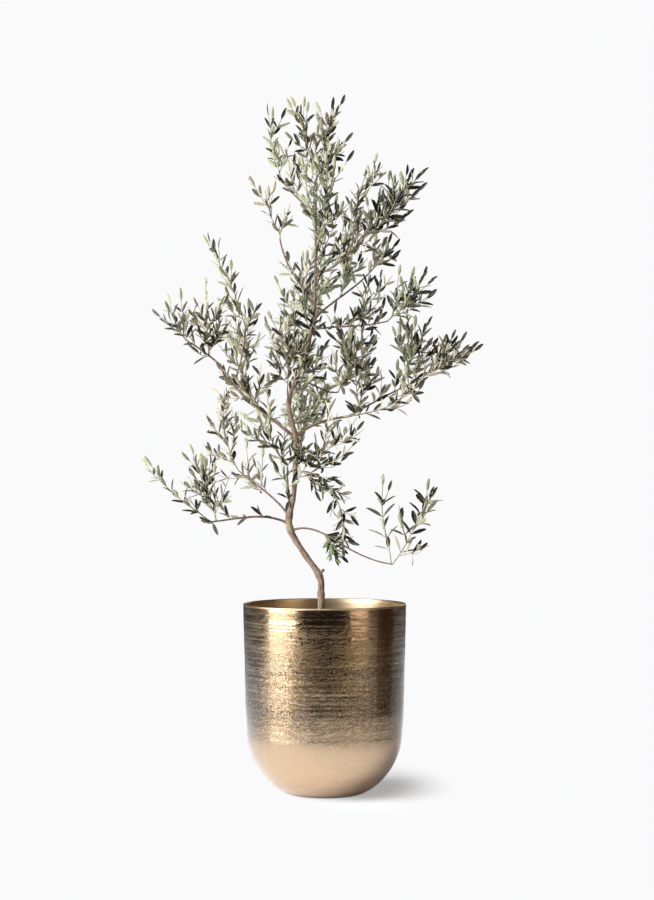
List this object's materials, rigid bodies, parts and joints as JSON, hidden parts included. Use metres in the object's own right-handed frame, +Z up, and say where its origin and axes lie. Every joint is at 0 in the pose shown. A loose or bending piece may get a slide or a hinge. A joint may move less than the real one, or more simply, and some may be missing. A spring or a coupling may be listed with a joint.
{
  "type": "potted olive tree",
  "caption": "Young olive tree with a slender kinked trunk and an open crown of narrow leaves, in a tall round-bottomed metal planter.",
  "frame": {"origin": "centre of the planter's flat foot, on the floor", "axes": "+Z up, -Y the front, +X the right-hand side seen from the front"},
  "size_m": [0.7846, 0.521, 1.5951],
  "materials": {
    "aged_brass": "thin sheet metal plated with aged brass, finely hammered, semi-gloss",
    "potting_soil": "damp crumbly compost, matte",
    "bark": "young smooth bark, matte",
    "foliage": "leathery leaves, dark olive green above and silver green below, satin"
  },
  "bodies": {
    "root": {"planter": "aged_brass", "soil": "potting_soil", "trunk": "bark", "low_left_bough": "bark", "left_diagonal_bough": "bark", "inner_upright_bough": "bark", "low_right_bough": "bark", "low_right_outer_bough": "bark", "left_bough": "bark", "far_left_bough": "bark", "left_rising_bough": "bark", "right_bough": "bark", "right_high_bough": "bark", "mid_right_bough": "bark", "upper_right_bough": "bark", "upper_left_bough": "bark", "leader": "bark", "crown_right_bough": "bark", "crown_left_bough": "bark", "front_left_bough": "bark", "back_left_bough": "bark", "back_right_bough": "bark", "far_left_low_spray": "foliage", "low_left_spray": "foliage", "left_diagonal_spray": "foliage", "inner_upright_spray": "foliage", "low_right_outer_spray": "foliage", "low_right_upright_spray": "foliage", "low_tuft": "foliage", "drooping_spray": "foliage", "front_right_spray": "foliage", "back_low_spray": "foliage", "far_left_spray": "foliage", "left_upright_spray": "foliage", "left_tall_spray": "foliage", "left_inner_spray": "foliage", "front_left_spray": "foliage", "back_left_spray": "foliage", "front_high_spray": "foliage", "right_tip_spray": "foliage", "right_high_spray": "foliage", "right_inner_spray": "foliage", "right_low_spray": "foliage", "mid_right_spray": "foliage", "mid_right_inner_spray": "foliage", "upper_right_spray": "foliage", "upper_back_spray": "foliage", "back_right_spray": "foliage", "upper_left_spray": "foliage", "crown_left_spray": "foliage", "crown_centre_spray": "foliage", "crown_top_spray": "foliage", "crown_front_spray": "foliage", "crown_back_spray": "foliage", "crown_right_spray": "foliage", "crown_inner_spray": "foliage", "leader_left_spray": "foliage", "mid_left_spray": "foliage", "fork_right_spray": "foliage", "crown_far_right_spray": "foliage"}
  },
  "joints": []
}
